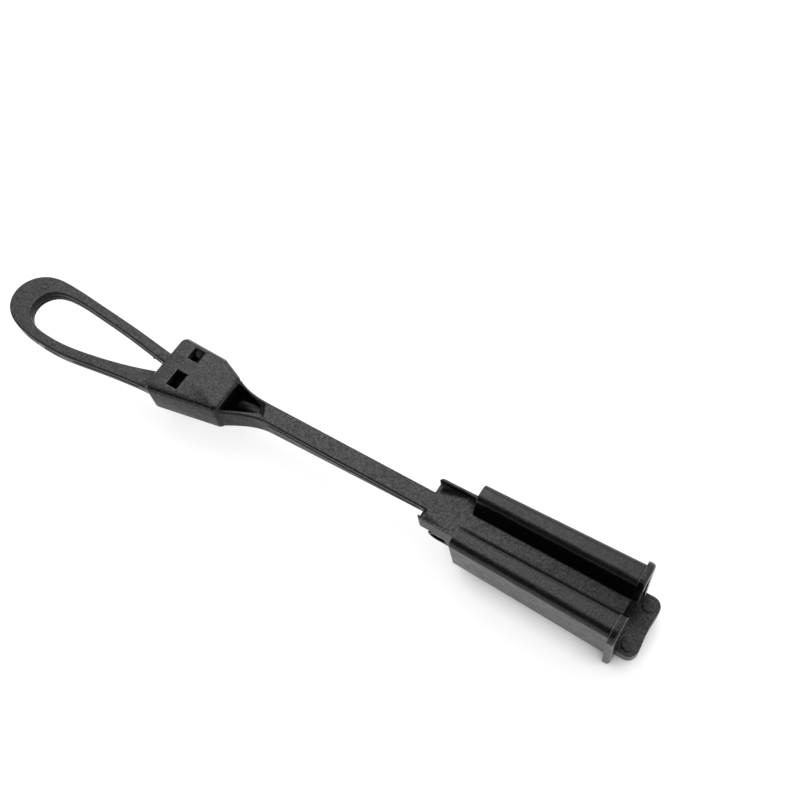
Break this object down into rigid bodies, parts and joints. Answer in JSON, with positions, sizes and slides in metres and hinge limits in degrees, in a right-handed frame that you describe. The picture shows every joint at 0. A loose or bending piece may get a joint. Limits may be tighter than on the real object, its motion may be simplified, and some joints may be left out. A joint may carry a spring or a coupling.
{
  "type": "drop cable clamp",
  "caption": "Wedge clamp for a flat drop cable: tapered shell with rolled lips, toothed shim, and a wedge with a long strap, lock head and opening hanging loop.",
  "frame": {"origin": "middle of the shell's flat back face", "axes": "+X from the hanging loop to the shell's wide end, +Z out of the slot between the lips, +Y to the free arm's side"},
  "size_m": [0.2663, 0.0335, 0.0301],
  "materials": {
    "shell": "fine spark-eroded mould grain, satin black",
    "shim": "fine mould grain, satin black",
    "wedge": "fine spark-eroded mould grain, satin black"
  },
  "bodies": {
    "shell": {"shell": "shell"},
    "shim": {"shim": "shim"},
    "wedge": {"wedge": "wedge"}
  },
  "joints": [
    {"name": "wedge_slide", "type": "slide", "parent": "shell", "child": "wedge", "axis": [1, 0, 0], "range_m": [0, 0.06]},
    {"name": "shim_slide", "type": "slide", "parent": "shell", "child": "shim", "axis": [1, 0, 0], "range_m": [0, 0.06]}
  ]
}
